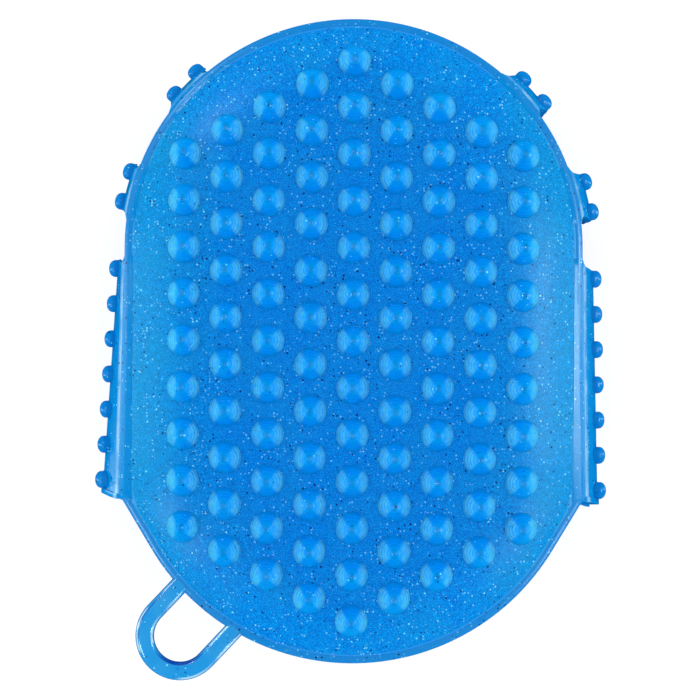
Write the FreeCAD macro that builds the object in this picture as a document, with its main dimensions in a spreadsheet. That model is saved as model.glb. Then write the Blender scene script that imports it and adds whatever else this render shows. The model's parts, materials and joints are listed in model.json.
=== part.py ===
"""Soft moulded grooming glove: a nubbed palm pad with a domed, nubbed hand cover and a hanging loop.

The glove lies on its back, as it is put down or packed: the cover's small nubs touch the surface, the
palm pad faces up. +X is to the right, +Y towards the fingertips, +Z the way the palm nubs point.
The origin is on the surface below the middle of the pad.
"""

import FreeCAD, Part
import math
import os
import Sketcher

SIZES = {
    # Palm pad: a half circle at the fingertips, straight sides, slanting shoulders and a round tail.
    "half_width": 62.5,
    "front_centre": 25.4,
    "tail_centre": -24.2,
    "tail_radius": 63.7,
    "shoulder_angle": 31,
    "pad_under": 30,
    "pad_thick": 3.5,
    "pad_edge_round": 3,
    # Rim that turns down round the pad's edge.
    "rim_wide": 5,
    "rim_high": 5.5,
    # Palm nubs: upright cones in staggered columns.
    "nub_radius": 4.3,
    "nub_tip_radius": 1.8,
    "nub_shoulder": 6.6,
    "nub_high": 7.5,
    "nub_column_gap": 11.475,
    "nub_row_gap": 12.64,
    "nub_middle_count": 13,
    # Hand cover: a flat crown, curved side walls and curved legs, all of one thickness.
    "cover_thick": 2.6,
    "crown_under": 2.15,
    "crown_half": 52.5,
    "bend_radius": 13.5,
    "lean_radius": 12,
    "wall_front": 22,
    "wall_long": 64,
    "flare_angle": 2.5,
    "leg_sweep": 12.4,
    "middle_leg_angle": 14,
    "front_leg_angle": 43,
    # Thicker lip round the mouth that the hand goes in by.
    "lip_long": 1.5,
    "lip_grow": 0.4,
    # Small round nubs all over the cover.
    "dot_radius": 2.25,
    "dot_gap": 9.7,
    "dot_start": 3.4,
    "dot_spread": 3.7,
    # Hanging loop: a flat U at the wrist end.
    "loop_x": -46.6,
    "loop_y": -80.6,
    "loop_turn": -43.2,
    "loop_radius": 9.6,
    "loop_wide": 5.1,
    "loop_thick": 3.2,
    "loop_under": 25.6,
    "loop_straight": 5.2,
    "loop_round": 1.2,
    "neck_long": 7.8,
}

PALM_COLUMNS = range(-4, 5)
CROWN_COLUMNS = range(-5, 6)
WALL_DOT_ROWS = range(7)
CROWN_DOT_ROWS = range(-4, 8)
WALL_DOTS_UP = 3
SIDES = {"left": -1, "right": 1}
SEAM_TURN = 35
MOST_DOT = 1.2

doc = FreeCAD.newDocument("grooming_glove")
sheet = doc.addObject("Spreadsheet::Sheet", "sizes")
for row, (alias, value) in enumerate(SIZES.items(), start=1):
    sheet.set(f"A{row}", alias)
    sheet.set(f"B{row}", str(value))
    sheet.setAlias(f"B{row}", alias)
doc.recompute()

nodes = []


def size(alias):
    """The value of one of the sheet's driving dimensions."""
    return float(sheet.get(alias))


def sub_part(thing, label):
    """Names a finished sub-part, and keeps it for writing."""
    thing.Label = label
    nodes.append(thing)
    return thing


def new_body(name):
    """A body that may hold several separate solids."""
    body = doc.addObject("PartDesign::Body", name)
    body.AllowCompound = True
    return body


def origin_feature(body, role):
    """One of the body's own origin planes or axes."""
    return next(f for f in body.Origin.OriginFeatures if f.Role == role)


def sketch_on(body, name, role):
    """A new sketch on one of the body's origin planes."""
    sketch = body.newObject("Sketcher::SketchObject", name)
    sketch.AttachmentSupport = (origin_feature(body, role), "")
    sketch.MapMode = "FlatFace"
    return sketch


def point(x, y):
    return FreeCAD.Vector(x, y, 0)


def line(sketch, a, b):
    return sketch.addGeometry(Part.LineSegment(point(*a), point(*b)))


def arc(sketch, centre, radius, start_deg, end_deg):
    circle = Part.Circle(point(*centre), FreeCAD.Vector(0, 0, 1), radius)
    return sketch.addGeometry(Part.ArcOfCircle(circle, math.radians(start_deg), math.radians(end_deg)))


def constrain(sketch, kind, *where):
    sketch.addConstraint(Sketcher.Constraint(kind, *where))


def drive(sketch, name, expression, kind, *where):
    """A named constraint whose value follows the sheet."""
    index = sketch.addConstraint(Sketcher.Constraint(kind, *where))
    sketch.renameConstraint(index, name)
    sketch.setExpression(f"Constraints.{name}", expression)


def place(thing, x="0", y="0", z="0", turn=0.0):
    """Binds a sub-part's place to the sheet, after turning it about the vertical."""
    thing.Placement = FreeCAD.Placement(FreeCAD.Vector(), FreeCAD.Rotation(FreeCAD.Vector(0, 0, 1), turn))
    for axis, expression in zip("xyz", (x, y, z)):
        thing.setExpression(f"Placement.Base.{axis}", expression)


def polar(radius, degrees):
    return radius * math.cos(math.radians(degrees)), radius * math.sin(math.radians(degrees))


def pad_outline(sketch, tag, inset):
    """The pad's outline, moved in by inset: front arc, sides, slanting shoulders and tail arc."""
    move_in = size(inset) if inset else 0
    less = f" - sizes.{inset}" if inset else ""
    half = size("half_width") - move_in
    front = size("front_centre")
    tail = size("tail_centre")
    tail_radius = size("tail_radius") - move_in
    slant = size("shoulder_angle")
    touch_x, touch_y = polar(tail_radius, -slant)
    touch_y += tail
    shoulder = touch_y + (half - touch_x) / math.tan(math.radians(slant))

    front_arc = arc(sketch, (0, front), half, 0, 180)
    right = line(sketch, (half, front), (half, shoulder))
    right_slant = line(sketch, (half, shoulder), (touch_x, touch_y))
    tail_arc = arc(sketch, (0, tail), tail_radius, 180 + slant, 360 - slant)
    left_slant = line(sketch, (-touch_x, touch_y), (-half, shoulder))
    left = line(sketch, (-half, shoulder), (-half, front))

    constrain(sketch, "Tangent", front_arc, 1, right, 1)
    constrain(sketch, "Coincident", right, 2, right_slant, 1)
    constrain(sketch, "Tangent", right_slant, 2, tail_arc, 2)
    constrain(sketch, "Tangent", tail_arc, 1, left_slant, 1)
    constrain(sketch, "Coincident", left_slant, 2, left, 1)
    constrain(sketch, "Tangent", left, 2, front_arc, 2)
    constrain(sketch, "Vertical", right)
    constrain(sketch, "Vertical", left)
    constrain(sketch, "PointOnObject", front_arc, 3, -2)
    constrain(sketch, "PointOnObject", tail_arc, 3, -2)
    drive(sketch, f"{tag}_radius", f"sizes.half_width{less}", "Radius", front_arc, half)
    drive(sketch, f"{tag}_front", "sizes.front_centre", "DistanceY", -1, 1, front_arc, 3, front)
    drive(sketch, f"{tag}_tail_radius", f"sizes.tail_radius{less}", "Radius", tail_arc, tail_radius)
    drive(sketch, f"{tag}_tail", "-sizes.tail_centre", "DistanceY", tail_arc, 3, -1, 1, -tail)
    corner = math.radians(180 - slant)
    drive(sketch, f"{tag}_right", "180 deg - sizes.shoulder_angle * 1 deg", "Angle",
          right, 2, right_slant, 1, corner)
    drive(sketch, f"{tag}_left", "180 deg - sizes.shoulder_angle * 1 deg", "Angle",
          left_slant, 2, left, 1, corner)


def make_palm_pad():
    """The pad's plate, with its upper edge rounded over."""
    body = new_body("palm_pad")
    sketch = sketch_on(body, "pad_outline", "XY_Plane")
    pad_outline(sketch, "pad", None)
    plate = body.newObject("PartDesign::Pad", "pad_plate")
    plate.Profile = sketch
    plate.setExpression("Length", "sizes.pad_thick")
    doc.recompute()
    top = size("pad_thick")
    upper = [f"Edge{i}" for i, edge in enumerate(plate.Shape.Edges, start=1)
             if abs(edge.BoundBox.ZMin - top) < 1e-6]
    rounded = body.newObject("PartDesign::Fillet", "pad_rounding")
    rounded.Base = (plate, upper)
    rounded.setExpression("Radius", "sizes.pad_edge_round")
    place(body, z="sizes.pad_under")
    return sub_part(body, "palm_pad")


def make_pad_rim():
    """The band that turns down round the edge of the pad."""
    body = new_body("pad_rim")
    sketch = sketch_on(body, "rim_section", "XY_Plane")
    pad_outline(sketch, "outer", None)
    pad_outline(sketch, "inner", "rim_wide")
    band = body.newObject("PartDesign::Pad", "rim_band")
    band.Profile = sketch
    band.setExpression("Length", "sizes.rim_high")
    place(body, z="sizes.pad_under - sizes.rim_high")
    return sub_part(body, "pad_rim")


def make_palm_nubs(column):
    """One column of upright cone nubs with round tips, evenly spaced along the pad."""
    label = f"palm_nubs_{column - PALM_COLUMNS.start + 1}"
    body = new_body(label)
    sketch = sketch_on(body, "nub_profile", "XZ_Plane")
    radius, tip, shoulder, high = (size(a) for a in
                                   ("nub_radius", "nub_tip_radius", "nub_shoulder", "nub_high"))
    rise = high - shoulder
    dome = (tip ** 2 + rise ** 2) / (2 * rise)
    dome_start = math.degrees(math.asin((dome - rise) / dome))
    base = line(sketch, (0, 0), (radius, 0))
    side = line(sketch, (radius, 0), (tip, shoulder))
    cap = arc(sketch, (0, high - dome), dome, dome_start, 90)
    axis = line(sketch, (0, high), (0, 0))
    constrain(sketch, "Coincident", base, 1, -1, 1)
    constrain(sketch, "Horizontal", base)
    constrain(sketch, "Coincident", base, 2, side, 1)
    constrain(sketch, "Coincident", side, 2, cap, 1)
    constrain(sketch, "Coincident", cap, 2, axis, 1)
    constrain(sketch, "Coincident", axis, 2, base, 1)
    constrain(sketch, "Vertical", axis)
    constrain(sketch, "PointOnObject", cap, 3, -2)
    drive(sketch, "base_radius", "sizes.nub_radius", "DistanceX", base, 1, base, 2, radius)
    drive(sketch, "tip_radius", "sizes.nub_tip_radius", "DistanceX", -1, 1, side, 2, tip)
    drive(sketch, "shoulder", "sizes.nub_shoulder", "DistanceY", -1, 1, side, 2, shoulder)
    drive(sketch, "high", "sizes.nub_high", "DistanceY", axis, 2, axis, 1, high)
    nub = body.newObject("PartDesign::Revolution", "nub")
    nub.Profile = sketch
    nub.ReferenceAxis = (origin_feature(body, "Z_Axis"), "")
    nub.Angle = 360
    doc.recompute()
    fewer = abs(column)
    row = body.newObject("PartDesign::LinearPattern", "nub_row")
    row.Originals = [nub]
    row.Direction = (origin_feature(body, "Y_Axis"), "")
    row.setExpression("Length", f"(sizes.nub_middle_count - {fewer} - 1) * sizes.nub_row_gap")
    row.setExpression("Occurrences", f"sizes.nub_middle_count - {fewer}")
    body.Tip = row
    place(body,
          x=f"{column} * sizes.nub_column_gap",
          y=f"-(sizes.nub_middle_count - {fewer} - 1) * sizes.nub_row_gap / 2",
          z="sizes.pad_under + sizes.pad_thick")
    return sub_part(body, label)


def make_crown():
    """The flat crown over the back of the hand: round in front, flared towards the mouth."""
    body = new_body("cover_crown")
    sketch = sketch_on(body, "crown_outline", "XY_Plane")
    half = size("crown_half")
    front = size("front_centre")
    start = size("wall_front")
    flare_x, flare_y = polar(size("wall_long"), size("flare_angle") - 90)
    rear = (half + flare_x, start + flare_y)
    front_arc = arc(sketch, (0, front), half, 0, 180)
    right = line(sketch, (half, front), (half, start))
    right_flare = line(sketch, (half, start), rear)
    mouth = line(sketch, rear, (-rear[0], rear[1]))
    left_flare = line(sketch, (-rear[0], rear[1]), (-half, start))
    left = line(sketch, (-half, start), (-half, front))
    constrain(sketch, "Tangent", front_arc, 1, right, 1)
    constrain(sketch, "Coincident", right, 2, right_flare, 1)
    constrain(sketch, "Coincident", right_flare, 2, mouth, 1)
    constrain(sketch, "Coincident", mouth, 2, left_flare, 1)
    constrain(sketch, "Coincident", left_flare, 2, left, 1)
    constrain(sketch, "Tangent", left, 2, front_arc, 2)
    constrain(sketch, "Vertical", right)
    constrain(sketch, "PointOnObject", front_arc, 3, -2)
    constrain(sketch, "Symmetric", right, 2, left, 1, -2)
    constrain(sketch, "Symmetric", right_flare, 2, left_flare, 1, -2)
    drive(sketch, "half", "sizes.crown_half", "Radius", front_arc, half)
    drive(sketch, "front", "sizes.front_centre", "DistanceY", -1, 1, front_arc, 3, front)
    drive(sketch, "start", "sizes.wall_front", "DistanceY", -1, 1, right, 2, start)
    drive(sketch, "long", "sizes.wall_long", "Distance", right_flare, 1, right_flare, 2,
          size("wall_long"))
    drive(sketch, "flare", "180 deg - sizes.flare_angle * 1 deg", "Angle",
          right_flare, 1, right, 2, math.radians(180 - size("flare_angle")))
    plate = body.newObject("PartDesign::Pad", "crown_plate")
    plate.Profile = sketch
    plate.setExpression("Length", "sizes.cover_thick")
    place(body, z="sizes.crown_under")
    return sub_part(body, "cover_crown")


def bend_section(body, away, grow):
    """The cover's side in section: it bends out and up from the crown's edge and leans back in to the rim.

    away is how far the bend's centre stands from the sketch's vertical axis, and grow thickens it."""
    sketch = sketch_on(body, "bend_section", "XZ_Plane")
    gap = size(away) if away else 0
    extra = size(grow) if grow else 0
    more = f" + sizes.{grow}" if grow else ""
    less = f" - sizes.{grow}" if grow else ""
    outer = size("bend_radius") + extra
    inner = size("bend_radius") - size("cover_thick") - extra
    back = size("bend_radius") - size("lean_radius")
    centre = size("crown_under") + size("bend_radius")
    top = size("pad_under") - size("rim_high")
    outer_lean = math.asin((top - centre) / (outer - back))
    inner_lean = math.asin((top - centre) / (inner - back))
    outer_arc = arc(sketch, (gap, centre), outer, -90, 0)
    outer_top = arc(sketch, (gap + back, centre), outer - back, 0, math.degrees(outer_lean))
    top_line = line(sketch, (gap + back + (outer - back) * math.cos(outer_lean), top),
                    (gap + back + (inner - back) * math.cos(inner_lean), top))
    inner_top = arc(sketch, (gap + back, centre), inner - back, 0, math.degrees(inner_lean))
    inner_arc = arc(sketch, (gap, centre), inner, -90, 0)
    foot = line(sketch, (gap, centre - inner), (gap, centre - outer))
    constrain(sketch, "Tangent", outer_arc, 2, outer_top, 1)
    constrain(sketch, "Coincident", outer_top, 2, top_line, 1)
    constrain(sketch, "Coincident", top_line, 2, inner_top, 2)
    constrain(sketch, "Tangent", inner_arc, 2, inner_top, 1)
    constrain(sketch, "Coincident", inner_arc, 1, foot, 1)
    constrain(sketch, "Coincident", foot, 2, outer_arc, 1)
    constrain(sketch, "Coincident", outer_arc, 3, inner_arc, 3)
    constrain(sketch, "Coincident", outer_top, 3, inner_top, 3)
    constrain(sketch, "Horizontal", outer_arc, 3, outer_top, 3)
    constrain(sketch, "Vertical", foot)
    constrain(sketch, "Horizontal", top_line)
    constrain(sketch, "PointOnObject", outer_arc, 3, foot)
    if away:
        drive(sketch, "away", f"sizes.{away}", "DistanceX", -1, 1, outer_arc, 3, gap)
    else:
        constrain(sketch, "PointOnObject", outer_arc, 3, -2)
    drive(sketch, "outer", f"sizes.bend_radius{more}", "Radius", outer_arc, outer)
    drive(sketch, "lean", f"sizes.lean_radius{more}", "Radius", outer_top, outer - back)
    drive(sketch, "inner", f"sizes.bend_radius - sizes.cover_thick{less}", "Radius", inner_arc, inner)
    drive(sketch, "centre", "sizes.crown_under + sizes.bend_radius", "DistanceY",
          -1, 1, outer_arc, 3, centre)
    drive(sketch, "top", "sizes.pad_under - sizes.rim_high", "DistanceY", -1, 1, top_line, 1, top)
    return sketch


def side_placement(side, along=0.0):
    """Where a side wall's own frame stands: along from its front end, turned by the flare.

    Its own +X points out of the glove on either side, so the left wall runs along its +Y and the right
    one along its -Y."""
    flare = size("flare_angle")
    back_x, back_y = polar(along, flare - 90)
    base = FreeCAD.Vector(side * (size("crown_half") + back_x), size("wall_front") + back_y, 0)
    if side > 0:
        return FreeCAD.Placement(base, FreeCAD.Rotation(FreeCAD.Vector(0, 0, 1), flare))
    return FreeCAD.Placement(base, FreeCAD.Rotation(FreeCAD.Vector(0, 0, 1), 180 - flare))


def make_wall(label, side, along, long, grow):
    """A stretch of the cover's side, straight along its flare: a wall, or the lip on its end."""
    body = new_body(label)
    sketch = bend_section(body, None, grow)
    run = body.newObject("PartDesign::Pad", "run")
    run.Profile = sketch
    run.setExpression("Length", f"sizes.{long}")
    run.Reversed = side < 0
    body.Placement = side_placement(side, along)
    return sub_part(body, label)


def make_leg(label, angle):
    """A leg of the cover that follows the round front: the same bend, turned about its centre."""
    body = new_body(label)
    sketch = bend_section(body, "crown_half", None)
    sweep = body.newObject("PartDesign::Revolution", "sweep")
    sweep.Profile = sketch
    sweep.ReferenceAxis = (origin_feature(body, "Z_Axis"), "")
    sweep.Midplane = True
    sweep.setExpression("Angle", "sizes.leg_sweep")
    place(body, y="sizes.front_centre", turn=angle)
    return sub_part(body, label)


def make_crown_lip():
    """The lip along the crown's edge at the mouth, between the two wall lips."""
    half = size("crown_half") + polar(size("wall_long"), size("flare_angle") - 90)[0]
    rear = size("wall_front") + polar(size("wall_long"), size("flare_angle") - 90)[1]
    bar = doc.addObject("Part::Box", "crown_lip_bar")
    bar.Length = 2 * half
    bar.setExpression("Width", "sizes.lip_long")
    bar.setExpression("Height", "sizes.cover_thick + 2 * sizes.lip_grow")
    bar.Placement = FreeCAD.Placement(
        FreeCAD.Vector(-half, rear - size("lip_long"), size("crown_under") - size("lip_grow")),
        FreeCAD.Rotation())
    return sub_part(bar, "cuff_lip_crown")


def ball(x, y, z):
    """One small nub, still a whole ball centred on the cover's outer face.

    It is turned so that its seam runs askew to every wall that cuts it."""
    sphere = doc.addObject("Part::Sphere", "dot")
    sphere.setExpression("Radius", "sizes.dot_radius")
    sphere.Placement = FreeCAD.Placement(FreeCAD.Vector(x, y, z),
                                         FreeCAD.Rotation(FreeCAD.Vector(1, 1, 0), SEAM_TURN))
    return sphere


def gather(balls, name):
    group = doc.addObject("Part::Compound", name)
    group.Links = balls
    return group


def stand_out(balls, host, label):
    """The part of each ball that stands out of the cover."""
    cut = doc.addObject("Part::Cut", label)
    cut.Base = gather(balls, f"{label}_balls")
    cut.Tool = host
    return sub_part(cut, label)


def make_crown_dots(column):
    """One column of small nubs under the crown, their tips just flat where they touch the surface."""
    label = f"crown_nubs_{column - CROWN_COLUMNS.start + 1}"
    gap = size("dot_gap")
    front = size("front_centre")
    room = size("crown_half") - size("dot_radius") - size("cover_thick") / 4
    x = column * gap
    rows = [row * gap for row in CROWN_DOT_ROWS]
    inside = [y for y in rows if y <= front or math.hypot(x, y - front) <= room]
    balls = [ball(x, y, size("crown_under")) for y in inside]
    layer = doc.addObject("Part::Box", f"{label}_layer")
    layer.Length = 2 * size("half_width")
    layer.Width = 4 * size("half_width")
    layer.setExpression("Height", "sizes.crown_under")
    layer.Placement.Base = FreeCAD.Vector(-size("half_width"), -2 * size("half_width"), 0)
    slice_ = doc.addObject("Part::Common", label)
    slice_.Base = gather(balls, f"{label}_balls")
    slice_.Tool = layer
    return sub_part(slice_, label)


def dots_up_side():
    """Places of the small nubs up the cover's side, as distance out from the crown's edge and height."""
    bend = size("bend_radius")
    lean = size("lean_radius")
    centre = size("crown_under") + bend
    widest = bend * math.pi / 2
    first = CROWN_COLUMNS.stop * size("dot_gap") - size("crown_half")
    places = []
    for step in range(WALL_DOTS_UP):
        climb = first + step * size("dot_gap")
        if climb <= widest:
            turn = climb / bend
            places.append((bend * math.sin(turn), centre - bend * math.cos(turn)))
        else:
            turn = (climb - widest) / lean
            places.append((bend - lean + lean * math.cos(turn), centre + lean * math.sin(turn)))
    return places


def make_wall_dots(label, side, wall):
    """The small nubs on a side wall, in rows that follow the flare."""
    balls = []
    for row in WALL_DOT_ROWS:
        along = size("dot_start") + row * size("dot_gap")
        foot = side_placement(side, along)
        for out, height in dots_up_side():
            centre = foot.multVec(FreeCAD.Vector(out, 0, height))
            balls.append(ball(*centre))
    return stand_out(balls, wall, label)


def make_leg_dots(label, angle, leg):
    """The small nubs on a leg, two abreast."""
    balls = []
    for turn in (-size("dot_spread"), size("dot_spread")):
        for out, height in dots_up_side():
            x, y = polar(size("crown_half") + out, angle + turn)
            balls.append(ball(x, size("front_centre") + y, height))
    return stand_out(balls, leg, label)


def loop_placement():
    """The loop's own frame: its origin at the arc's centre, its +Y towards the pad."""
    turn = FreeCAD.Rotation(FreeCAD.Vector(0, 0, 1), size("loop_turn"))
    return FreeCAD.Placement(FreeCAD.Vector(size("loop_x"), size("loop_y"), size("loop_under")), turn)


def make_hang_loop():
    """The flat U that the glove hangs by, with rounded edges."""
    body = new_body("hang_loop")
    sketch = sketch_on(body, "loop_outline", "XY_Plane")
    middle = size("loop_radius")
    outer = middle + size("loop_wide") / 2
    inner = middle - size("loop_wide") / 2
    end = size("loop_straight")
    outer_arc = arc(sketch, (0, 0), outer, 180, 360)
    right_out = line(sketch, (outer, 0), (outer, end))
    right_end = line(sketch, (outer, end), (inner, end))
    right_in = line(sketch, (inner, end), (inner, 0))
    inner_arc = arc(sketch, (0, 0), inner, 180, 360)
    left_in = line(sketch, (-inner, 0), (-inner, end))
    left_end = line(sketch, (-inner, end), (-outer, end))
    left_out = line(sketch, (-outer, end), (-outer, 0))
    constrain(sketch, "Tangent", outer_arc, 2, right_out, 1)
    constrain(sketch, "Coincident", right_out, 2, right_end, 1)
    constrain(sketch, "Coincident", right_end, 2, right_in, 1)
    constrain(sketch, "Tangent", right_in, 2, inner_arc, 2)
    constrain(sketch, "Tangent", inner_arc, 1, left_in, 1)
    constrain(sketch, "Coincident", left_in, 2, left_end, 1)
    constrain(sketch, "Coincident", left_end, 2, left_out, 1)
    constrain(sketch, "Tangent", left_out, 2, outer_arc, 1)
    constrain(sketch, "Coincident", outer_arc, 3, -1, 1)
    constrain(sketch, "Coincident", inner_arc, 3, -1, 1)
    constrain(sketch, "Horizontal", right_end)
    constrain(sketch, "Horizontal", left_end)
    constrain(sketch, "Vertical", right_out)
    constrain(sketch, "Vertical", left_out)
    drive(sketch, "outer", "sizes.loop_radius + sizes.loop_wide / 2", "Radius", outer_arc, outer)
    drive(sketch, "inner", "sizes.loop_radius - sizes.loop_wide / 2", "Radius", inner_arc, inner)
    drive(sketch, "right_leg", "sizes.loop_straight", "DistanceY", -1, 1, right_end, 1, end)
    drive(sketch, "left_leg", "sizes.loop_straight", "DistanceY", -1, 1, left_end, 1, end)
    bar = body.newObject("PartDesign::Pad", "loop_bar")
    bar.Profile = sketch
    bar.setExpression("Length", "sizes.loop_thick")
    doc.recompute()
    # Every edge along the U is rounded; the upright ones and those on the two cut ends aren't.
    long_edges = []
    for index, edge in enumerate(bar.Shape.Edges, start=1):
        box = edge.BoundBox
        level = box.ZLength < 1e-6
        on_end = level and box.YLength < 1e-6
        if level and not on_end:
            long_edges.append(f"Edge{index}")
    rounded = body.newObject("PartDesign::Fillet", "loop_rounding")
    rounded.Base = (bar, long_edges)
    rounded.setExpression("Radius", "sizes.loop_round")
    body.Placement = loop_placement()
    return sub_part(body, "hang_loop")


def make_neck(label, side, rim):
    """The short root that joins one end of the loop to the rim and bends when the loop moves."""
    bar = doc.addObject("Part::Box", f"{label}_bar")
    bar.setExpression("Length", "sizes.loop_wide")
    bar.setExpression("Width", "sizes.neck_long")
    bar.setExpression("Height", "sizes.loop_thick")
    corner = FreeCAD.Vector(side * size("loop_radius") - size("loop_wide") / 2, size("loop_straight"), 0)
    bar.Placement = loop_placement().multiply(FreeCAD.Placement(corner, FreeCAD.Rotation()))
    doc.recompute()
    along = loop_placement().Rotation.multVec(FreeCAD.Vector(0, 1, 0))
    long_edges = [index for index, edge in enumerate(bar.Shape.Edges, start=1)
                  if abs(edge.tangentAt(edge.FirstParameter).dot(along)) > 0.999]
    rounded = doc.addObject("Part::Fillet", f"{label}_rounded")
    rounded.Base = bar
    rounded.Edges = [(index, size("loop_round"), size("loop_round")) for index in long_edges]
    neck = doc.addObject("Part::Cut", label)
    neck.Base = rounded
    neck.Tool = rim
    return sub_part(neck, label)


make_palm_pad()
pad_rim = make_pad_rim()
for column in PALM_COLUMNS:
    make_palm_nubs(column)
make_crown()
for name, side in SIDES.items():
    wall = make_wall(f"cover_wall_{name}", side, 0, "wall_long", None)
    make_wall(f"cuff_lip_{name}", side, size("wall_long"), "lip_long", "lip_grow")
    make_wall_dots(f"wall_nubs_{name}", side, wall)
    for position in ("middle", "front"):
        angle = 90 - side * (90 - size(f"{position}_leg_angle"))
        leg = make_leg(f"cover_leg_{position}_{name}", angle)
        make_leg_dots(f"leg_nubs_{position}_{name}", angle, leg)
    make_neck(f"loop_neck_{name}", side, pad_rim)
make_crown_lip()
for column in CROWN_COLUMNS:
    make_crown_dots(column)
make_hang_loop()
doc.recompute()

failed = [thing.Label for thing in doc.Objects if {"Invalid", "Error"} & set(thing.State)]
if failed:
    raise RuntimeError(f"objects that failed: {failed}")
for node in nodes:
    if node.Shape.isNull() or not node.Shape.isValid():
        raise RuntimeError(f"{node.Label} has no valid shape")

half_ball = 2 / 3 * math.pi * size("dot_radius") ** 3
for node in nodes:
    if "nubs" in node.Label and "palm" not in node.Label:
        uncut = [solid for solid in node.Shape.Solids if solid.Volume > MOST_DOT * half_ball]
        if uncut:
            raise RuntimeError(f"{node.Label} has {len(uncut)} nubs that the cover doesn't cut")

os.makedirs("parts", exist_ok=True)
for node in nodes:
    node.Shape.exportStep(f"parts/{node.Label}.step")
    box = node.Shape.optimalBoundingBox(True, False)
    print(f"{node.Label:26s} {len(node.Shape.Solids):3d} solids {node.Shape.Volume:10.1f} mm3"
          f"  x {box.XMin:7.2f} {box.XMax:7.2f}  y {box.YMin:7.2f} {box.YMax:7.2f}"
          f"  z {box.ZMin:6.2f} {box.ZMax:6.2f}")
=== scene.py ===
"""The looks of a soft jelly grooming glove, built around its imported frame.

The glove lies on its back: palm pad and palm nubs up, hand cover below, hanging loop at the wrist
end. Every piece is placed from the frame's own boxes and joints. Lengths are metres, written as so
many MM.
"""

import json
import math

import bmesh
import bpy
import numpy as np
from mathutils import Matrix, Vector


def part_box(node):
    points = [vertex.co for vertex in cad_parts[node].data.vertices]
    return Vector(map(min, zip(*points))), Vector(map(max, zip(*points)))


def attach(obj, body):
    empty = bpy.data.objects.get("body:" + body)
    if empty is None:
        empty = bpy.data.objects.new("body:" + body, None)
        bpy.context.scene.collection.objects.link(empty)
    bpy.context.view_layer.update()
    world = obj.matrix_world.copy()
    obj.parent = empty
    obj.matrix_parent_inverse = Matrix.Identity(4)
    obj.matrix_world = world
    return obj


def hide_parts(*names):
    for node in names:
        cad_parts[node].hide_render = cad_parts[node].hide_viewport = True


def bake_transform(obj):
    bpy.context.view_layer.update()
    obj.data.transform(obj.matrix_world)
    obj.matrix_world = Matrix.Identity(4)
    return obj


MM = 0.001

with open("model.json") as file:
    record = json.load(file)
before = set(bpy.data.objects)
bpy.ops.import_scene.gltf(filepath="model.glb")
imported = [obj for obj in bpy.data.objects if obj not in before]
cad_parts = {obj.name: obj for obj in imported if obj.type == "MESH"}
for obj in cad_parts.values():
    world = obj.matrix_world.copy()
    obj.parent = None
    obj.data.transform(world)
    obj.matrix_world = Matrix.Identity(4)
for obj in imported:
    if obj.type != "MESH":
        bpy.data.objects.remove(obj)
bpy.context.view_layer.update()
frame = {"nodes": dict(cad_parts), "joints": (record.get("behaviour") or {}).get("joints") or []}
joints = {joint["name"]: joint for joint in frame["joints"]}

# ---------------------------------------------------------------- sizes

pad_low, pad_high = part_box("palm_pad")
rim_low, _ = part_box("pad_rim")
crown_low, crown_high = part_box("cover_crown")
lip_low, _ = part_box("cuff_lip_right")
loop_low, loop_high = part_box("hang_loop")

# Pad: a half circle in front, straight sides, slanting shoulders and a round tail.
HALF = pad_high.x
FRONT = pad_high.y - HALF
TAIL_RADIUS = 1.0192 * HALF
TAIL = pad_low.y + TAIL_RADIUS
SLANT = math.radians(31)
TOUCH_X = TAIL_RADIUS * math.cos(SLANT)
TOUCH_Y = TAIL - TAIL_RADIUS * math.sin(SLANT)
CORNER_Y = TOUCH_Y + (HALF - TOUCH_X) / math.tan(SLANT)

# The pad's top is a shallow dish turned over, with a smooth band round its edge.
PAD_TOP = pad_high.z
DISH_DROP = 7.0 * MM
DISH_WIDE = 26.0 * MM
SHEET_THICK = 3.4 * MM
BAND_WIDE = 2.3 * MM
BAND_ROUND = 2.0 * MM
BAND_FOOT = 1.45 * MM
BAND_LIFT = 0.7 * MM
GROOVE_DEEP = 0.22 * MM
OUTLINE_STEP = 2.0 * MM
CREASE_SOFT = 8 * MM
# Its rows of points, closer together near its edge: from, to and how far apart.
PAD_ROWS = ((BAND_WIDE + 0.15 * MM, 10 * MM, 1.2 * MM), (10 * MM, 28 * MM, 2 * MM),
            (28 * MM, 60 * MM, 5 * MM))

# Cover: a flat crown with bulging walls and legs that run up over the pad's edge. The walls and legs
# start a little narrower than the CAD's, because fillets widen them where they join crown and pad.
CROWN_HALF = crown_high.y - FRONT
CROWN_Z = crown_low.z
COVER_THICK = crown_high.z - crown_low.z
BEND = 13.5 * MM
BEND_OUT = 13.15 * MM
FLARE = math.tan(math.radians(2.5))
MOUTH = lip_low.y
WALL_FRONT = 22.0 * MM
WALL_END = 20.9 * MM
LEG_HALF_TURN = math.radians(5.5)
CROWN_TIP_TURN = math.radians(87)
LEG_ANGLES = (math.radians(14), math.radians(43))
LIP_LONG = 1.5 * MM
LIP_STEP = 0.1 * MM
LIP_GROW = 0.40 * MM
CROWN_FILLET = 3.0 * MM
RIDGE_IN = 2.1 * MM
RIDGE_DROP = 0.7 * MM
RIDGE_SHARE = 0.4
PAD_FILLET = 2.0 * MM
TWIST = math.radians(-0.98)
SIDESTEP = 0.25 * MM
TWIST_LOW = 18.0 * MM
TWIST_HIGH = 27.0 * MM
CROWN_STEPS = 28
WALL_STEPS = 28
LEG_STEPS = 11
BEND_STEPS = 12
GAP_STEPS = 5
CROWN_TIP_STEPS = 16
EDGE_ROUND = 0.55 * MM

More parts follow.
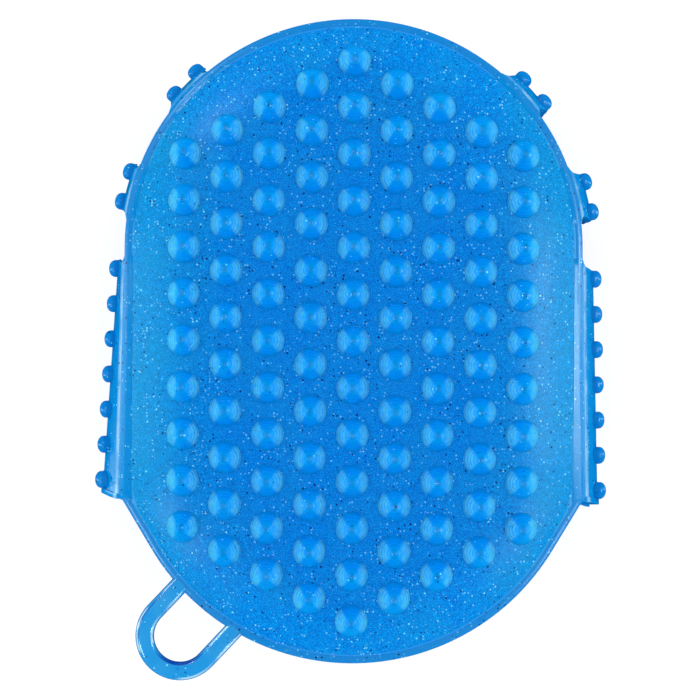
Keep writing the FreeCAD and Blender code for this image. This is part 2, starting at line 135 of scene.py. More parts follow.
# Palm nubs and the cover's small nubs.
NUB_RADIUS = 4.3 * MM
NUB_TIP = 1.8 * MM
NUB_SHOULDER = 6.6 * MM
NUB_HIGH = 7.5 * MM
NUB_MIDDLE_COUNT = 13
PALM_COLUMNS = 9
RING_GAP = 0.72 * MM
FLANK_RIPPLE = 0.060 * MM
TIP_RIPPLE = 0.090 * MM
POINTS_A_RING = 6
NUB_SIDES = 40
DOT_RADIUS = 2.35 * MM
DOT_HIGH = 2.6 * MM
DOT_GAP = 9.7 * MM
DOT_START = 3.4 * MM
DOT_SPREAD = math.radians(3.7)
CROWN_COLUMNS = 11
WALL_DOT_ROWS = 7
DOTS_UP = 3
DOT_SIDES = 24
DOT_STEPS = 8

# Hanging loop: a flat U of rounded section, whose legs dip and grow thinner towards the pad.
LOOP_RADIUS = 9.6 * MM
LOOP_WIDE = 5.1 * MM
LOOP_JOINT_AHEAD = 7.2 * MM
LOOP_DIP_LONG = 14 * MM
LOOP_ROOT_UP = 1.55 * MM
LOOP_THINNER = 0.28
LOOP_INSIDE = 1.6 * MM
LOOP_STEP = 0.8 * MM
LOOP_ROUND_STEPS = 33
LOOP_SIDES = 32
LOOP_SQUARE = 0.75

# Heights between which the cover carries a painted highlight, and where the loop's round end starts.
CREST_LOW = PAD_TOP - 8.4 * MM
CREST_HIGH = PAD_TOP - 7.4 * MM
U_BOTTOM = loop_low.y + 9 * MM


# ---------------------------------------------------------------- the pad's surface

def edge_distance(x, y):
    """How far points lie in from the pad's outline, with the crease at the shoulders softened."""
    x = np.abs(x)
    side = np.where(y > FRONT, HALF - np.hypot(x, y - FRONT), HALF - x)
    round_tail = TAIL_RADIUS - np.hypot(x, y - TAIL)
    slant = TAIL_RADIUS - (x * math.cos(SLANT) + (TAIL - y) * math.sin(SLANT))
    tail = np.where(TAIL - y > x * math.tan(SLANT), round_tail, slant)
    soft = np.clip(side + tail, 1e-9, CREASE_SOFT)
    share = np.clip(0.5 + 0.5 * (tail - side) / soft, 0, 1)
    return tail + (side - tail) * share - soft * share * (1 - share) * 0.5


def dish(distance):
    """Height of the pad's top, that far in from its outline."""
    return PAD_TOP - DISH_DROP * np.clip(1 - distance / DISH_WIDE, 0, None) ** 2


def spaced(start, end, step):
    """Values from start up to but not including end, about a step apart."""
    return np.linspace(start, end, max(2, math.ceil(abs(end - start) / step)), endpoint=False)


def pad_outline():
    """Rows of x, y, the height on the spine that the point faces, and how far the spine is."""
    rows = []
    for y in spaced(CORNER_Y, FRONT, OUTLINE_STEP):
        rows.append((HALF, y, max(y, TAIL), HALF))
    for turn in spaced(0, math.pi, OUTLINE_STEP / HALF):
        rows.append((HALF * math.cos(turn), FRONT + HALF * math.sin(turn), FRONT, HALF))
    for y in spaced(FRONT, CORNER_Y, OUTLINE_STEP):
        rows.append((-HALF, y, max(y, TAIL), HALF))
    slant_long = math.hypot(HALF - TOUCH_X, CORNER_Y - TOUCH_Y)
    for share in spaced(0, 1, OUTLINE_STEP / slant_long):
        rows.append((-HALF + share * (HALF - TOUCH_X), CORNER_Y + share * (TOUCH_Y - CORNER_Y),
                     TAIL, TAIL_RADIUS))
    for turn in spaced(math.pi + SLANT, 2 * math.pi - SLANT, OUTLINE_STEP / TAIL_RADIUS):
        rows.append((TAIL_RADIUS * math.cos(turn), TAIL + TAIL_RADIUS * math.sin(turn),
                     TAIL, TAIL_RADIUS))
    for share in spaced(0, 1, OUTLINE_STEP / slant_long):
        rows.append((TOUCH_X + share * (HALF - TOUCH_X), TOUCH_Y + share * (CORNER_Y - TOUCH_Y),
                     TAIL, TAIL_RADIUS))
    return np.array(rows)


# ---------------------------------------------------------------- mesh helpers

def link_mesh(name, mesh):
    piece = bpy.data.objects.new(name, mesh)
    bpy.context.scene.collection.objects.link(piece)
    return piece


def shade_smooth(mesh):
    mesh.polygons.foreach_set("use_smooth", [True] * len(mesh.polygons))


def ring_mesh(name, points, attributes):
    """A mesh from rows of points, each row closed into a ring, with doubles merged."""
    rows, columns = points.shape[:2]
    bm = bmesh.new()
    layers = {key: bm.verts.layers.float.new(key) for key in attributes}
    verts = []
    for i in range(rows):
        for j in range(columns):
            vert = bm.verts.new(points[i, j])
            for key, layer in layers.items():
                vert[layer] = attributes[key][i, j]
            verts.append(vert)
    for i in range(rows - 1):
        for j in range(columns):
            k = (j + 1) % columns
            bm.faces.new((verts[i * columns + j], verts[i * columns + k],
                          verts[(i + 1) * columns + k], verts[(i + 1) * columns + j]))
    bmesh.ops.remove_doubles(bm, verts=bm.verts[:], dist=0.002 * MM)
    mesh = bpy.data.meshes.new(name)
    bm.to_mesh(mesh)
    bm.free()
    shade_smooth(mesh)
    return mesh


def revolved(profile, segments):
    """Points and faces of a profile of (radius, height) rows turned about the vertical."""
    turns = np.linspace(0, 2 * math.pi, segments, endpoint=False)
    ring = np.stack([np.cos(turns), np.sin(turns)], axis=1)
    points = []
    faces = []
    for radius, height in profile[:-1]:
        points.extend([(radius * c, radius * s, height) for c, s in ring])
    for i in range(len(profile) - 2):
        for j in range(segments):
            k = (j + 1) % segments
            faces.append((i * segments + j, i * segments + k, (i + 1) * segments + k,
                          (i + 1) * segments + j))
    tip = len(points)
    points.append((0, 0, profile[-1][1]))
    base = (len(profile) - 2) * segments
    for j in range(segments):
        faces.append((base + j, base + (j + 1) % segments, tip))
    faces.append(tuple(reversed(range(segments))))
    return np.array(points), faces


def gathered(name, clusters, faces, attributes=None):
    """One piece from several copies of a shape, each an array of points with the same faces."""
    all_points = np.concatenate(clusters)
    size = len(clusters[0])
    all_faces = [tuple(v + i * size for v in face) for i in range(len(clusters)) for face in faces]
    mesh = bpy.data.meshes.new(name)
    mesh.from_pydata(all_points.tolist(), [], all_faces)
    mesh.update()
    for key, values in (attributes or {}).items():
        layer = mesh.attributes.new(key, "FLOAT", "POINT")
        layer.data.foreach_set("value", np.tile(values, len(clusters)).astype(np.float32))
    shade_smooth(mesh)
    return link_mesh(name, mesh)


def apply_modifiers(piece):
    """Turns what a piece's modifiers make into its mesh."""
    graph = bpy.context.evaluated_depsgraph_get()
    mesh = bpy.data.meshes.new_from_object(piece.evaluated_get(graph))
    piece.modifiers.clear()
    piece.data = mesh


# ---------------------------------------------------------------- materials

# The pad's jelly where it is deep and where it is pale, the smooth band at its edge, and a painted
# highlight along its groove.
DEEP = (0.0, 0.185, 0.690)
# The pale blue also serves as painted light on the pad's left and right sides.
PALE = (0.002, 0.260, 0.590)
BAND = (0.0, 0.235, 0.650)
GROOVE_HIGHLIGHT = (0.04, 0.40, 0.90)
BAND_GLOSS = 0.3

# Light and dark grain, and the flakes.
GLINT = (0.0, 0.42, 0.95)
SHADE = (0.0, 0.09, 0.42)
SILVER = (0.24, 0.76, 0.94)
NAVY = (0.0, 0.012, 0.14)

# The palm nubs' painted light: brighter flanks, and painted highlights where flanks face left or
# right.
BRIGHT = (0.0, 0.33, 0.88)
SIDE_HIGHLIGHT = (0.12, 0.66, 0.93)

# Clear edges, outlines and lines seen through the loop.
# A painted highlight for the cover's ridge and the loop's edges, and painted shade for the loop's
# outlines and lines.
PALE_HIGHLIGHT = (0.42, 0.72, 0.88)
EDGE_SHADE = (0.01, 0.07, 0.30)
SHADE_LINE = (0.0, 0.03, 0.38)

# How big the jelly's clouds, mottling and grain are, and its flakes' spacing, radius and share.
CLOUD_SIZE = 14 * MM
MOTTLE_SIZE = 1.3 * MM
GRAIN_SIZE = 0.36 * MM
RELIEF_SIZE = 0.38 * MM
RELIEF_DEEP = 0.02 * MM
CROWD_SIZE = 6 * MM
SILVER_FLAKES = (0.85 * MM, 0.175 * MM, 0.46)
NAVY_FLAKES = (1.05 * MM, 0.20 * MM, 0.42)


class Tree:
    """A material's nodes, added one call at a time."""

    def __init__(self, name):
        self.material = bpy.data.materials.new(name)
        self.material.use_nodes = True
        self.nodes = self.material.node_tree.nodes
        self.nodes.clear()

    def set(self, socket, value):
        if isinstance(value, bpy.types.NodeSocket):
            self.material.node_tree.links.new(value, socket)
        elif hasattr(value, "__len__") and len(value) == 3 and socket.type == "RGBA":
            socket.default_value = (*value, 1)
        else:
            socket.default_value = value

    def add(self, kind, inputs=None, **settings):
        node = self.nodes.new(kind)
        for key, value in settings.items():
            setattr(node, key, value)
        for key, value in (inputs or {}).items():
            self.set(node.inputs[key], value)
        return node

    def math(self, operation, a, b=0.0):
        return self.add("ShaderNodeMath", {0: a, 1: b}, operation=operation).outputs[0]

    def times(self, a, b):
        return self.math("MULTIPLY", a, b)

    def mix(self, factor, a, b):
        node = self.add("ShaderNodeMix", data_type="RGBA")
        self.set(node.inputs[0], factor)
        self.set(node.inputs[6], a)
        self.set(node.inputs[7], b)
        return node.outputs[2]

    def ramp(self, value, low, high, to_low=0.0, to_high=1.0):
        return self.add("ShaderNodeMapRange", {"Value": value, "From Min": low, "From Max": high,
                                               "To Min": to_low, "To Max": to_high},
                        interpolation_type="SMOOTHSTEP").outputs[0]

    def between(self, value, start, full, still, end):
        """1 from full to still, fading to 0 at start and at end."""
        return self.times(self.ramp(value, start, full), self.ramp(value, end, still))

    def attribute(self, name):
        """A number that the mesh carries at each of its points."""
        return self.add("ShaderNodeAttribute", attribute_name=name).outputs["Fac"]

    def part(self, place, axis):
        return self.add("ShaderNodeSeparateXYZ", {0: place}).outputs[axis]

    def noise(self, place, size, detail=2.0):
        return self.add("ShaderNodeTexNoise", {"Vector": place, "Scale": 1 / size,
                                               "Detail": detail}).outputs["Fac"]

    def flakes(self, place, gap, radius, share):
        """Flakes scattered through the jelly, of mixed sizes and strengths; 0 where there is none."""
        cells = self.add("ShaderNodeTexVoronoi", {"Vector": place, "Scale": 1 / gap})
        pick = self.add("ShaderNodeSeparateColor", {0: cells.outputs["Color"]})
        wide = self.ramp(pick.outputs[1], 0, 1, 0.35 * radius / gap, 1.5 * radius / gap)
        near = self.math("LESS_THAN", cells.outputs["Distance"], wide)
        crowd = self.ramp(self.noise(place, CROWD_SIZE), 0.3, 0.7, 0.3 * share, 1.7 * share)
        chosen = self.math("LESS_THAN", pick.outputs[0], crowd)
        strength = self.ramp(pick.outputs[2], 0, 1, 0.35, 1.0)
        return self.times(self.times(near, chosen), strength)


def pad_colour(tree, place, depth, thin, deep, pale, grain):
    """Paler towards the sides as painted light, mottled, with a smooth band and a painted highlight
    by its groove.
    """
    across = tree.math("ABSOLUTE", tree.part(place, "X"))
    # Painted light: paler towards the pad's left and right sides, as if lit from there.
    side = tree.ramp(across, 0.45 * HALF, 0.95 * HALF, 0.0, 0.75)
    colour = tree.mix(tree.math("ADD", thin, side), deep, pale)
    mottle = tree.ramp(tree.noise(place, MOTTLE_SIZE, 3.0), 0.35, 0.65, 0.0, 0.22)
    colour = tree.mix(tree.times(mottle, grain), colour, GLINT)
    band = tree.ramp(depth, BAND_WIDE - 0.15 * MM, BAND_WIDE - 0.55 * MM)
    colour = tree.mix(band, colour, BAND)
    # Painted highlight: a thin pale line along the groove at the band's inner edge.
    groove_highlight = tree.between(depth, BAND_WIDE - 0.35 * MM, BAND_WIDE - 0.1 * MM, BAND_WIDE,
                        BAND_WIDE + 0.3 * MM)
    return tree.mix(tree.times(groove_highlight, 0.55), colour, GROOVE_HIGHLIGHT)


def nub_flanks(tree, place, colour):
    """Painted light: brighter flanks, with ring-streaked painted highlights facing left or right."""
    lit = tree.attribute("flank")
    wave = tree.math("SINE", tree.times(tree.attribute("ring"), 2 * math.pi))
    patch = tree.ramp(tree.noise(place, MOTTLE_SIZE, 2.0), 0.3, 0.7, 0.5, 1.05)
    streak = tree.times(patch, tree.ramp(wave, -1, 1, 0.4, 1.2))
    # Painted light on the flanks, then painted highlights streaked along the rings where they face
    # left or right.
    colour = tree.mix(tree.ramp(lit, 0.0, 0.35), colour, BRIGHT)
    return tree.mix(tree.times(tree.ramp(lit, 0.35, 1.0), streak), colour, SIDE_HIGHLIGHT)


def painted_crest_highlight(tree, place, colour):
    """A painted highlight, broken here and there, along the cover's ridge below the pad's edge."""
    # Painted highlight: pale where the cover stands at the ridge's height.
    crest = tree.between(tree.attribute("height"), CREST_LOW - 0.5 * MM, CREST_LOW + 0.3 * MM,
                         CREST_HIGH - 0.1 * MM, CREST_HIGH + 0.5 * MM)
    patch = tree.ramp(tree.noise(place, 7 * MM, 2.0), 0.35, 0.6, 0.15, 0.55)
    return tree.mix(tree.times(crest, patch), colour, PALE_HIGHLIGHT)


def loop_lines(tree, place, colour):
    """Painted light and shade on the loop: pale edges, dark outlines, and dark lines along its inside
    and legs.
    """
    across = tree.attribute("across")
    side = tree.math("ABSOLUTE", across)
    # Painted light: pale in patches just inside the loop's edges.
    clear = tree.between(side, 0.62, 0.74, 0.84, 0.90)
    patch = tree.ramp(tree.noise(place, 11 * MM, 1.0), 0.42, 0.56)
    colour = tree.mix(tree.times(clear, patch), colour, PALE_HIGHLIGHT)
    along = tree.part(place, "Y")
    # Painted shade: a dark line along the inside of the round end, and one along the outside of the
    # legs.
    inner = tree.between(across, -0.60, -0.72, -0.92, -0.98)
    shadow = tree.times(inner, tree.ramp(along, U_BOTTOM, U_BOTTOM - 4 * MM))
    colour = tree.mix(tree.times(shadow, 0.9), colour, SHADE_LINE)
    outer = tree.between(across, 0.56, 0.64, 0.70, 0.78)
    line = tree.times(outer, tree.ramp(along, U_BOTTOM, U_BOTTOM + 4 * MM))
    colour = tree.mix(tree.times(line, 0.7), colour, SHADE_LINE)
    # Painted shade: a dark outline at the loop's edges.
    return tree.mix(tree.times(tree.ramp(side, 0.90, 0.97), 0.8), colour, EDGE_SHADE)


def jelly(name, deep, pale, marks=None, banded=False, grain=1.0, glitter=1.0, rough=0.28,
          scatter=0.2, reach=1.0 * MM, soak=(0.1, 0.7, 1.0), gloss=0.4):
    """Translucent blue jelly, cloudy and finely grained, with silver and dark flakes in it.

    marks adds a piece's own painted light and shade. The pad is banded: its edge is smooth, without
    grain."""
    tree = Tree(name)
    place = tree.add("ShaderNodeTexCoord").outputs["Object"]
    cloud = tree.noise(place, CLOUD_SIZE, 3.0)
    thin = tree.ramp(cloud, 0.35, 0.75, 0.0, 0.35)
    if banded:
        depth = tree.attribute("inset")
        grain = tree.times(tree.ramp(depth, BAND_WIDE - 0.1 * MM, BAND_WIDE + 0.5 * MM), grain)
        gloss = tree.ramp(depth, BAND_WIDE - 0.4 * MM, BAND_WIDE, BAND_GLOSS, gloss)
        colour = pad_colour(tree, place, depth, thin, deep, pale, grain)
    else:
        colour = tree.mix(thin, deep, pale)
    if marks:
        colour = marks(tree, place, colour)

    fine = tree.noise(place, GRAIN_SIZE, 1.0)
    light = tree.times(tree.ramp(fine, 0.50, 0.66), 0.80)
    dark = tree.times(tree.ramp(fine, 0.50, 0.30), 0.30)
    colour = tree.mix(tree.times(light, grain), colour, GLINT)
    colour = tree.mix(tree.times(dark, grain), colour, SHADE)
    gap, radius, share = SILVER_FLAKES
    silver = tree.flakes(place, gap, radius, share * glitter)
    colour = tree.mix(silver, colour, SILVER)
    gap, radius, share = NAVY_FLAKES
    colour = tree.mix(tree.flakes(place, gap, radius, share * glitter), colour, NAVY)

    bump = tree.add("ShaderNodeBump", {"Height": tree.noise(place, RELIEF_SIZE, 2.0),
                                       "Distance": RELIEF_DEEP})
    tree.set(bump.inputs["Strength"], tree.times(grain, 0.8))
    roughness = tree.math("SUBTRACT", tree.ramp(cloud, 0.3, 0.7, rough - 0.04, rough + 0.05),
                          tree.times(silver, 0.2))
    shader = tree.add("ShaderNodeBsdfPrincipled", {
        "Base Color": colour, "Roughness": roughness, "Normal": bump.outputs[0], "IOR": 1.45,
        "Specular IOR Level": gloss,
        "Subsurface Weight": scatter, "Subsurface Radius": soak, "Subsurface Scale": reach})
    output = tree.add("ShaderNodeOutputMaterial")
    tree.set(output.inputs["Surface"], shader.outputs[0])
    return tree.material


pad_jelly = jelly("glitter_jelly", DEEP, PALE, banded=True, gloss=0.07)
nub_jelly = jelly("clear_nub_jelly", (0.0, 0.245, 0.66), (0.002, 0.28, 0.68), nub_flanks,
                  grain=0.10, glitter=0.25, rough=0.16, scatter=0.9, reach=3 * MM,
                  soak=(0.1, 0.9, 0.6))
cover_jelly = jelly("cover_jelly", (0.0, 0.238, 0.66), (0.001, 0.275, 0.66), painted_crest_highlight,
                    grain=0.35, glitter=0.6, rough=0.15, gloss=0.14)
dot_jelly = jelly("small_nub_jelly", (0.0, 0.220, 0.66), (0.001, 0.25, 0.67),
                  grain=0.05, glitter=0.15, rough=0.15, gloss=0.25)
loop_jelly = jelly("loop_jelly", (0.015, 0.31, 0.73), (0.06, 0.43, 0.79), loop_lines,
                   grain=0.08, glitter=0.45, rough=0.14)


def finish_piece(piece, material, slot, *nodes):
    """Gives a piece its material, and lets it stand for its CAD nodes. The slot is not used."""
    piece.data.materials.clear()
    piece.data.materials.append(material)
    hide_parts(*nodes)


# ---------------------------------------------------------------- palm pad

def band_profile():
    """The edge band in section, as how far in and how high, from below, out, up and to a groove."""
    groove = float(dish(BAND_WIDE)) - GROOVE_DEEP
    lowest = rim_low.z + BAND_LIFT
    shoulder = lowest + BAND_FOOT
    crest = groove - 0.02 * MM
    rows = [(BAND_WIDE + 0.9 * MM, lowest - 0.05 * MM), (1.9 * MM, lowest),
            (1.1 * MM, lowest + 0.15 * MM), (0.45 * MM, lowest + 0.5 * MM),
            (0.1 * MM, lowest + 1.0 * MM), (0.0, shoulder)]
    for step in range(1, 8):
        turn = math.pi / 2 * step / 8
        rows.append((BAND_ROUND * (1 - math.cos(turn)),
                     shoulder + (crest - shoulder) * math.sin(turn)))
    rows.append((BAND_WIDE - 0.12 * MM, groove))
    rows.append((BAND_WIDE, groove + 0.05 * MM))
    return rows


def make_pad():
    """The pad's sheet: dished top, smooth rounded band at the edge, underside."""
    outline = pad_outline()
    inner = np.concatenate([np.arange(*span) for span in PAD_ROWS] + [[2 * HALF]])
    under = inner[inner > SHEET_THICK + 0.1 * MM]
    rows = [(d, "under", 0.0) for d in under[::-1]]
    rows += [(d, "band", z) for d, z in band_profile()]
    rows += [(d, "top", 0.0) for d in inner]
    points = np.zeros((len(rows), len(outline), 3))
    insets = np.zeros((len(rows), len(outline)))
    for i, (distance, kind, z) in enumerate(rows):
        share = np.minimum(distance / outline[:, 3], 1)
        x = outline[:, 0] * (1 - share)
        y = outline[:, 1] + (outline[:, 2] - outline[:, 1]) * share
        inside = edge_distance(x, y)
        height = dish(inside)
        if kind == "under":
            height = height - SHEET_THICK
        if kind == "band":
            height = np.full(len(x), z)
            inside = np.full(len(x), distance)
        points[i] = np.stack([x, y, height], axis=1)
        insets[i] = inside
    mesh = ring_mesh("palm_pad_sheet", points, {"inset": insets})
    piece = link_mesh("palm_pad_sheet", mesh)
    finish_piece(piece, pad_jelly, "glitter_jelly", "palm_pad", "pad_rim")
    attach(piece, "pad")


# ---------------------------------------------------------------- palm nubs

def nub_profile():
    """A cone with a blunt round tip, and fine turned rings all over it."""
    rows = [(NUB_RADIUS + 0.30 * MM, -0.35 * MM), (NUB_RADIUS + 0.12 * MM, 0.0),
            (NUB_RADIUS, 0.18 * MM)]
    outward = math.atan2(NUB_RADIUS - NUB_TIP, NUB_SHOULDER)
    count = round((NUB_RADIUS - NUB_TIP) / RING_GAP * POINTS_A_RING)
    for i in range(1, count + 1):
        share = i / count
        radius = NUB_RADIUS + (NUB_TIP - NUB_RADIUS) * share
        ripple = FLANK_RIPPLE * math.cos(2 * math.pi * radius / RING_GAP)
        height = NUB_SHOULDER * share + ripple * math.sin(outward)
        rows.append((radius + ripple * math.cos(outward), max(height, 0.2 * MM)))
    rows.append((NUB_TIP - 0.10 * MM, NUB_SHOULDER + 0.22 * MM))
    dome = NUB_HIGH - NUB_SHOULDER - 0.25 * MM
    count = round(NUB_TIP / RING_GAP * POINTS_A_RING)
    for i in range(2, count):
        radius = NUB_TIP * (1 - i / count)
        height = NUB_HIGH - dome * (radius / NUB_TIP) ** 2
        rows.append((radius, height + TIP_RIPPLE * (math.cos(2 * math.pi * radius / RING_GAP) - 1)))
    rows.append((0.0, NUB_HIGH))
    return rows


def painted_flank_light(points):
    """Painted light on a nub: brighter flanks, with painted highlights on those facing left or right.
    """
    radius = np.hypot(points[:, 0], points[:, 1])
    sideways = points[:, 0] / np.maximum(radius, 0.01 * MM)
    # Painted highlights on the flanks that face left or right, stronger on the left.
    highlight_strength = np.where(sideways < 0, 0.75, 0.55)
    facing = np.clip((np.abs(sideways) - 0.55) / 0.25, 0, 1) * highlight_strength
    above = points[:, 2] > -0.1 * MM
    # Painted light: brighter out on the flanks, fading to none at the tip's middle.
    on_flank = above * np.clip((radius - 0.4 * MM) / (2.4 * MM), 0, 1)
    return on_flank * (0.35 + facing)


def make_palm_nubs():
    """The nubs of each column, stood upright on the pad and melting into its slope."""
    points, faces = revolved(nub_profile(), NUB_SIDES)
    follow = np.clip(points[:, 2] / NUB_HIGH, 0, 1)
    flank = painted_flank_light(points)
    ring = np.hypot(points[:, 0], points[:, 1]) / RING_GAP
    for column in range(1, PALM_COLUMNS + 1):
        node = f"palm_nubs_{column}"
        low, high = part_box(node)
        count = NUB_MIDDLE_COUNT - abs(column - (PALM_COLUMNS + 1) // 2)
        x = (low.x + high.x) / 2
        clusters = []
        for y in np.linspace(low.y + NUB_RADIUS, high.y - NUB_RADIUS, count):
            placed = points + np.array([x, y, 0])
            ground = dish(edge_distance(placed[:, 0], placed[:, 1]))
            middle = float(dish(edge_distance(np.array([x]), np.array([y])))[0])
            placed[:, 2] += ground + (middle - ground) * follow
            clusters.append(placed)
        piece = gathered(f"palm_nub_column_{column}", clusters, faces,
                         {"flank": flank, "ring": ring})
        finish_piece(piece, nub_jelly, "clear_nub_jelly", node)
        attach(piece, "pad")


# ---------------------------------------------------------------- hand cover

STRAIGHT = FRONT - MOUTH


def crown_edge(e):
    """The point e along the crown's right-hand edge from the mouth, and the way out from it."""
    if e <= STRAIGHT:
        y = MOUTH + e
        return Vector((CROWN_HALF + FLARE * max(WALL_FRONT - y, 0), y)), Vector((1, 0))
    turn = (e - STRAIGHT) / CROWN_HALF
    out = Vector((math.cos(turn), math.sin(turn)))
    return Vector((0, FRONT)) + out * CROWN_HALF, out


def smoothed(points, rounds):
    """A line of points with its corners cut, that many times over; its ends stay."""
    for _ in range(rounds):
        cut = [points[0]]
        for a, b in zip(points, points[1:]):
            cut += [a * 0.75 + b * 0.25, a * 0.25 + b * 0.75]
        points = cut + [points[-1]]
    return points


def side_section(e):
    """The cover's side in section at e, out from the crown's edge and up.

    It bulges out, rises steeply to a round ridge over the pad's edge, and lies down on the pad."""
    edge, out = crown_edge(e)
    flared = edge.x - CROWN_HALF if e <= STRAIGHT else 0
    reach = HALF - BAND_WIDE - CROWN_HALF - flared
    top = float(dish(BAND_WIDE)) + 0.03 * MM
    rows = []
    for i in range(BEND_STEPS + 1):
        turn = math.pi / 2 * i / BEND_STEPS
        rows.append((BEND_OUT * math.sin(turn), CROWN_Z + BEND * (1 - math.cos(turn))))
    widest = CROWN_Z + BEND
    ridge = Vector((reach + RIDGE_IN + RIDGE_SHARE * flared, top - RIDGE_DROP))
    rise = [Vector((BEND_OUT, widest)), Vector((BEND_OUT - 0.1 * MM, widest + 3.4 * MM)),
            ridge + Vector((1.2 * MM, -1.7 * MM)), ridge, Vector((reach, top))]
    rows += [tuple(point) for point in smoothed(rise, 3)[1:]]
    return rows


def twisted(x, y, z):
    """The soft cover sits turned a little under the pad, by less and less up to the pad's edge."""
    share = np.clip((TWIST_HIGH - z) / (TWIST_HIGH - TWIST_LOW), 0, 1)
    share = share * share * (3 - 2 * share)
    turn = TWIST * share
    along = x * np.cos(turn) - y * np.sin(turn) + SIDESTEP * share
    return along, x * np.sin(turn) + y * np.cos(turn), z


def fillet(along, radius):
    """How much wider a leg is, that far along from where it joins the crown or the pad."""
    if along >= radius:
        return 0.0
    return radius - math.sqrt(radius ** 2 - (radius - along) ** 2)


def widening(rows, i):
    """How much wider the cover's legs and walls are at step i of their section."""
    steps = [math.hypot(b[0] - a[0], b[1] - a[1]) for a, b in zip(rows, rows[1:])]
    from_crown = sum(steps[:i])
    to_pad = max(float(dish(0.0)) - rows[i][1], 0)
    return fillet(from_crown, CROWN_FILLET) + fillet(to_pad, PAD_FILLET)


def cover_strips():
    """The spans of the crown's edge that carry a wall or a leg: start, end and shares across."""
    wall_end = WALL_END - MOUTH
    lip = [0.0, 0.5 * LIP_LONG, LIP_LONG - LIP_STEP, LIP_LONG]
    wall_shares = [e / wall_end for e in lip]
    wall_shares += list(np.linspace(LIP_LONG / wall_end, 1, WALL_STEPS))[1:]
    strips = [(0.0, wall_end, wall_shares)]
    for angle in LEG_ANGLES:
        middle = STRAIGHT + angle * CROWN_HALF
        half = LEG_HALF_TURN * CROWN_HALF
        strips.append((middle - half, middle + half, list(np.linspace(0, 1, LEG_STEPS))))
    return strips


def crown_stations(strips):
    """Places along the crown's edge for its rows of points, and the run of them under each strip."""
    grow = fillet(0.0, CROWN_FILLET)
    spans = []
    stations = []
    previous = None
    for index, (start, end, shares) in enumerate(strips):
        first = start - grow if index else start
        last = end + grow
        if previous is not None:
            stations += list(np.linspace(previous, first, GAP_STEPS))[1:-1]
        spans.append((len(stations), len(stations) + len(shares)))
        stations += [first + (last - first) * share for share in shares]
        previous = last
    tip = STRAIGHT + CROWN_TIP_TURN * CROWN_HALF
    stations += list(np.linspace(previous, tip, CROWN_TIP_STEPS))[1:]
    return stations, spans


def add_crown(bm, stations):
    """The crown's rows of points, joined by faces."""
    crown = []
    for e in stations:
        edge, _ = crown_edge(e)
        crown.append([bm.verts.new((edge.x * (2 * k / CROWN_STEPS - 1), edge.y, CROWN_Z))
                      for k in range(CROWN_STEPS + 1)])
    for row, following in zip(crown, crown[1:]):
        for k in range(CROWN_STEPS):
            bm.faces.new((row[k], following[k], following[k + 1], row[k + 1]))
    return crown


def add_side(bm, foot, strip, is_wall, side):
    """A wall or a leg, row by row up from the crown's points that it stands on.

    A leg widens both ways where it joins. A wall widens only forwards, because the mouth cuts it."""
    start, end, shares = strip
    previous_row = foot
    for i in range(1, len(side_section(start))):
        row = []
        for share in shares:
            rows = side_section(start + (end - start) * share)
            grow = widening(rows, i)
            if not is_wall:
                grow *= CROWN_HALF / (CROWN_HALF + rows[i][0])
            first = start if is_wall else start - grow
            e = first + (end + grow - first) * share
            edge, out = crown_edge(e)
            u, z = side_section(e)[i]
            spot = edge + out * u
            row.append(bm.verts.new((side * spot.x, spot.y, z)))
        for a, b, c, d in zip(previous_row, row, row[1:], previous_row[1:]):
            bm.faces.new((a, b, c, d) if side < 0 else (d, c, b, a))
        previous_row = row


def thicken(piece):
    """Gives the cover's skin its thickness, inwards, and rounds its sharp edges."""
    solid = piece.modifiers.new("thickness", "SOLIDIFY")
    solid.thickness = COVER_THICK
    solid.offset = -1
    solid.use_even_offset = True
    round_off = piece.modifiers.new("soft_edges", "BEVEL")
    round_off.width = EDGE_ROUND
    round_off.segments = 3
    round_off.limit_method = "ANGLE"
    round_off.angle_limit = math.radians(50)
    apply_modifiers(piece)
    shade_smooth(piece.data)


def make_cover():
    """Crown, walls, legs and lip as one skin, thickened inwards and softened along its edges."""
    strips = cover_strips()
    stations, spans = crown_stations(strips)
    bm = bmesh.new()
    crown = add_crown(bm, stations)
    for side in (-1, 1):
        for index, (strip, (low, high)) in enumerate(zip(strips, spans)):
            foot = [crown[j][0 if side < 0 else CROWN_STEPS] for j in range(low, high)]
            add_side(bm, foot, strip, index == 0, side)
    bm.normal_update()
    lip_edge = MOUTH + LIP_LONG - LIP_STEP / 2
    for vert in bm.verts:
        if vert.co.y < lip_edge and vert.co.z < dish(0.0):
            vert.co += vert.normal * LIP_GROW
    for vert in bm.verts:
        vert.co = twisted(*vert.co)
    mesh = bpy.data.meshes.new("cover_skin")
    bm.to_mesh(mesh)
    bm.free()
    shade_smooth(mesh)
    piece = link_mesh("hand_cover", mesh)
    thicken(piece)
    heights = piece.data.attributes.new("height", "FLOAT", "POINT")
    heights.data.foreach_set("value", [vert.co.z for vert in piece.data.vertices])
    cover_nodes = [name for name in frame["nodes"] if name.startswith(("cover_", "cuff_lip"))]
    finish_piece(piece, cover_jelly, "cover_jelly", *cover_nodes)
    join_cover_to_pad(piece)


def join_cover_to_pad(piece):
    """Bakes the piece's placement into its mesh."""
    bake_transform(piece)


# ---------------------------------------------------------------- the cover's small nubs

def dot_profile(high):
    """A short peg with a round end."""
    rows = [(DOT_RADIUS + 0.25 * MM, -0.5 * MM), (DOT_RADIUS + 0.06 * MM, 0.0),
            (DOT_RADIUS, 0.3 * MM)]
    straight = 0.32 * high
    for i in range(DOT_STEPS):
        turn = math.pi / 2 * i / DOT_STEPS
        rows.append((DOT_RADIUS * math.cos(turn) ** 0.85,
                     straight + (high - straight) * math.sin(turn)))
    rows.append((0.0, high))
    return rows


